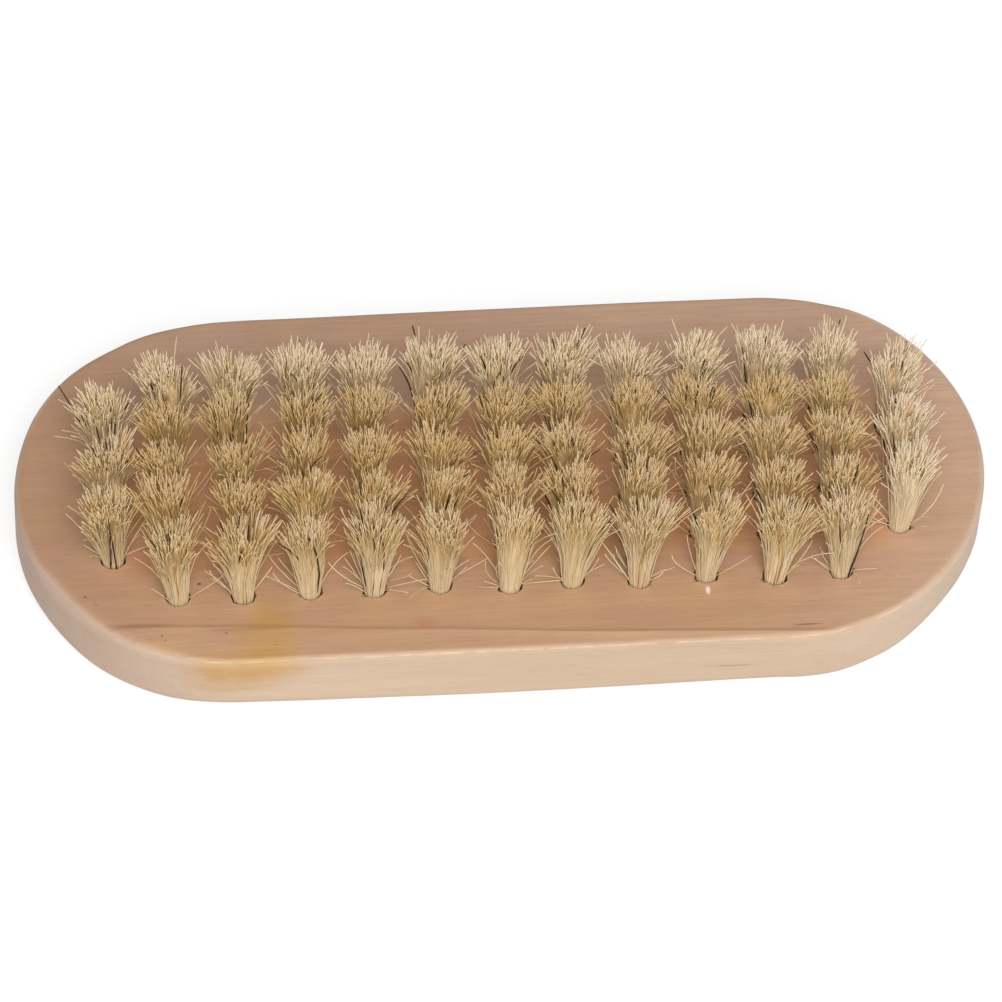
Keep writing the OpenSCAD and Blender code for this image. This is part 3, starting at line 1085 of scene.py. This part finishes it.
# Dark from 0 to 0.5 turns a bristle ginger, and from 0.5 to 1 dark brown; the tops of the hearts
# use the first part as painted shade
colour = mixed(tree, ramp(tree, dark, 0.0, 0.5), colour, GINGER)
colour = mixed(tree, ramp(tree, dark, 0.5, 1.0), colour, DARK_BROWN)
plug(tree, colour, shader.inputs["Base Color"])
plug(tree, ramp(tree, streak, 0.3, 0.7, 0.5, 0.7), shader.inputs["Roughness"])
shader.inputs["Specular IOR Level"].default_value = 0.15
add_bump(tree, shader, streak, 0.2, 0.02 * MM)


# %% Mesh of one column
def write_mesh(name, points, quads):
    """A mesh from arrays, with smooth shading."""
    mesh = bpy.data.meshes.new(name)
    mesh.vertices.add(len(points))
    mesh.vertices.foreach_set("co", points.ravel())
    mesh.loops.add(quads.size)
    mesh.loops.foreach_set("vertex_index", quads.ravel())
    mesh.polygons.add(len(quads))
    mesh.polygons.foreach_set("loop_start", np.arange(0, quads.size, 4))
    mesh.update(calc_edges=True)
    mesh.shade_smooth()
    return mesh


def store(mesh, label, values):
    """Keeps one number for each corner of the mesh, for the material to read."""
    mesh.attributes.new(label, "FLOAT", "POINT").data.foreach_set("value", values)


def hair_spots(hairs, rings):
    """Place of every face corner of the hairs on the bake map. Each hair is a strip of its
    own: the walls side by side and ring above ring, and the two caps above them."""
    across = math.ceil(math.sqrt(hairs * 2.6))
    down = math.ceil(hairs / across)
    corner = np.arange(SIDES)[None, :, None] + np.array([0, 1, 1, 0])
    ring = np.arange(rings - 1)[:, None, None] + np.array([0, 0, 1, 1])
    walls = np.stack(np.broadcast_arrays(corner * 0.22 + 0.04, ring / rings), axis=-1)
    square = np.array([[0, 0], [1, 0], [1, 1], [0, 1]]) * (0.34, 0.6 / rings)
    caps = [(square + (u, 1 - 0.8 / rings))[None] for u in (0.06, 0.54)]
    place = np.arange(hairs)
    origin = np.stack([place % across, place // across], axis=-1)[:, None, None]
    size = (1 / across, HAIR_PART / down)
    return [(origin + part) * size for part in (walls.reshape(1, -1, 4, 2), *caps)]


def heart_spots(tufts):
    """The same for the hearts: one small square for each face, above the hairs."""
    cell = np.arange(tufts * HEART_POINTS)
    wide = tufts * HEART_SIDES
    square = np.array([[0, 0], [1, 0], [1, 1], [0, 1]]) * 0.8 + 0.1
    origin = np.stack([cell % wide, cell // wide], axis=-1)[:, None]
    size = (1 / wide, (1 - HAIR_PART) / HEART_ROWS)
    return ((origin + square) * size + (0, HAIR_PART)).reshape(tufts, -1, 4, 2)


# %% [markdown]
# Deep in a tuft the bristles are packed so tightly that no light falls between them. A
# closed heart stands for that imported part: an upright bud inside the fan, with streaks as
# fine as the bristles around it, in the same material. What shows through the gaps is then
# bristle, and not the dark.

# %% Heart of a tuft
HAIR_PART = 0.93
HEART_SIDES = 96
HEART_ROWS = 8
HEART_TOP = 0.7
HEART_PAINTED_SHADE = 0.3
HEART_R = FOOT_R - 0.1 * MM
DOME_FROM = 0.45
DOME_RISE = HEART_TOP - 0.44
JAGGED_FROM = 0.55
HEART_POINTS = HEART_SIDES * HEART_ROWS
heart_share = np.array([-0.06, 0.0, 0.2, 0.36, 0.5, 0.6, 0.66, HEART_TOP])


def heart_points(lean, opening, bend):
    """Rings of the bud: an ellipse that widens as the sheaf does, rounded off at the top
    like a dome, each ridge a little in or out. Its top is jagged, as cut ends are."""
    up = np.maximum(heart_share, 0)
    dome = np.sqrt(np.clip(1 - ((up - DOME_FROM) / DOME_RISE) ** 2, 0, 1))
    dome = np.where(up < DOME_FROM, 1, dome)
    angle = np.arange(HEART_SIDES) * 2 * np.pi / HEART_SIDES
    ridge = 1 + luck.normal(0, 0.035, HEART_SIDES)
    ridge = ridge + luck.normal(0, 0.015, (HEART_ROWS, HEART_SIDES))
    fan = 1 + LEAN_OUT[:, None] * up + OPENS[:, None] * opening * up**bend
    wide, deep = HEART_R * fan * dome
    points = np.stack(np.broadcast_arrays(
        wide[:, None] * np.cos(angle) * ridge + up[:, None] * lean[0],
        deep[:, None] * np.sin(angle) * ridge + up[:, None] * lean[1],
        face_z + heart_share[:, None] * LENGTH,
    ), axis=-1)
    jagged = luck.normal(0, 0.3 * MM, points.shape[:2])
    points[..., 2] += jagged * (heart_share > JAGGED_FROM)[:, None]
    return points.reshape(-1, 3)


def heart_faces():
    """Walls ring by ring. A strip of faces across closes each end."""
    walls = ring_faces(HEART_ROWS, HEART_SIDES)
    k = np.arange(HEART_SIDES // 2 - 1)
    strip = np.stack([k, k + 1, HEART_SIDES - 2 - k, HEART_SIDES - 1 - k], axis=-1)
    return np.concatenate([walls, strip[:, ::-1], strip + (HEART_ROWS - 1) * HEART_SIDES])


# %% Bristles of one column
LIT_FRONT_ROW = 0.22
LIT_BACK_ROW = 0.8
LIT_TO_RIGHT = 0.2
LIT_END_COLUMNS = {"left_end": 0.4, "right_end": 0.85}


def bristle_column(name, number):
    """All the hairs of one column, as one piece that stands for the column's tufts."""
    parts, darks, tones, shade_shares, hearts = [], [], [], [], []
    for tuft, place in enumerate(bores[name]):
        bore = np.append(place, 0)
        halves = tuft_feet(2 * PAIRS, luck.uniform(0, 2 * np.pi))
        lean = np.array([LEAN_X[number], LEAN_Y[number]]) + luck.normal(0, 0.35, 2) * MM
        opening = luck.uniform(*OPENING)
        sides = [(feet, tips_of(feet, lean, opening)) for feet in halves]
        chance = luck.random(PAIRS)
        dark = 1.0 * (chance < DARK_PART) + 0.5 * (chance > 1 - GINGER_PART)
        for column, from_front, tip, darkness in STANDING_OUT:
            if (column, from_front) == (name, tuft):
                bend_to(sides, dark, tip, darkness)
        bend = luck.uniform(*BEND)
        parts.append(hair_paths(*sides, bend) + bore)
        hearts.append(heart_points(lean, opening, bend) + bore)
        out = np.hypot(*sides[0][0].T) / FOOT_R
        tones.append(np.clip(luck.normal(0.2 + 0.02 * number, 0.2, PAIRS) + 0.3 * out, 0, 1))
        # Painted light: the front row, the back row, the end columns and the columns to the
        # right get less golden painted shade and paler tips
        row_part = LIT_FRONT_ROW * (tuft == 0) + LIT_BACK_ROW * (tuft == len(bores[name]) - 1)
        outer = max(row_part, LIT_END_COLUMNS.get(name, 0)) + LIT_TO_RIGHT * number / len(columns)
        shade_shares.append(np.clip(1 - outer + luck.normal(0, 0.12, PAIRS), 0, 1))
        low = np.minimum(sides[0][1][0][:, 2], sides[1][1][0][:, 2]) < face_z + 5 * MM
        darks.append(np.where(low, 0, dark))
    paths = np.concatenate(parts)
    count, rings = paths.shape[:2]
    share = np.concatenate([RISE_SHARE, np.zeros(3), RISE_SHARE[::-1]])
    thick = HAIR_R * luck.uniform(*HAIR_SPREAD, count) * (1 + 0.5 * (np.concatenate(darks) == 1))
    radii = thick[:, None] * (1 - TIP_THINNER * share**3)
    slant = CUT_SLANT * thick * luck.uniform(-1, 1, count)
    hair_points = tubes(paths, radii, luck.uniform(0, 2 * np.pi, count), slant).reshape(-1, 3)
    heart = np.concatenate(hearts)
    first_of = len(hair_points) + np.arange(len(hearts)) * HEART_POINTS
    one_heart = heart_faces()
    heart_quads = (one_heart[None] + first_of[:, None, None]).reshape(-1, 4)
    mesh = write_mesh(
        "bristles_" + name,
        np.concatenate([hair_points, heart]),
        np.concatenate([tube_faces(count, rings), heart_quads]),
    )
    spots = [part.reshape(-1, 2) for part in hair_spots(count, rings)]
    spots.append(heart_spots(len(hearts))[:, : len(one_heart)].reshape(-1, 2))
    mesh.uv_layers.new(name="OFBake").data.foreach_set("uv", np.concatenate(spots).ravel())
    each = rings * SIDES
    strands = luck.random((len(hearts), 1, HEART_SIDES))
    strands = np.broadcast_to(strands, (len(hearts), HEART_ROWS, HEART_SIDES)).ravel()
    store(mesh, "tone", np.append(np.repeat(np.concatenate(tones), each), 0.6 * strands))
    # The top of each heart is painted darker and more ginger: painted shade deep in the tuft
    shaded = np.tile(np.repeat(np.clip(2 * heart_share - 0.5, 0, 1), HEART_SIDES), len(hearts))
    shaded = HEART_PAINTED_SHADE * shaded * (1 - strands)
    store(mesh, "dark", np.append(np.repeat(np.concatenate(darks), each), shaded))
    deep = np.repeat([values.mean() for values in shade_shares], HEART_POINTS)
    store(mesh, "shade_share", np.append(np.repeat(np.concatenate(shade_shares), each), deep))
    height = np.append(np.repeat(paths[..., 2].ravel(), SIDES), heart[:, 2])
    along = np.clip((height - face_z) / LENGTH, 0, 1)
    # A heart's height counts for less, so its top stays golden, as painted shade, and gets no
    # pale tip
    along[len(hair_points) :] *= 0.8
    store(mesh, "along", along)
    mesh.materials.append(bristle)
    made = in_scene("bristles_" + name, mesh)
    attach(made, "root")
    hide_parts("tufts_" + name)
    return made


brush = [bristle_column(name, number) for number, name in enumerate(columns)]
print("bristle pieces:", len(brush), "with", sum(len(o.data.polygons) for o in brush), "faces")
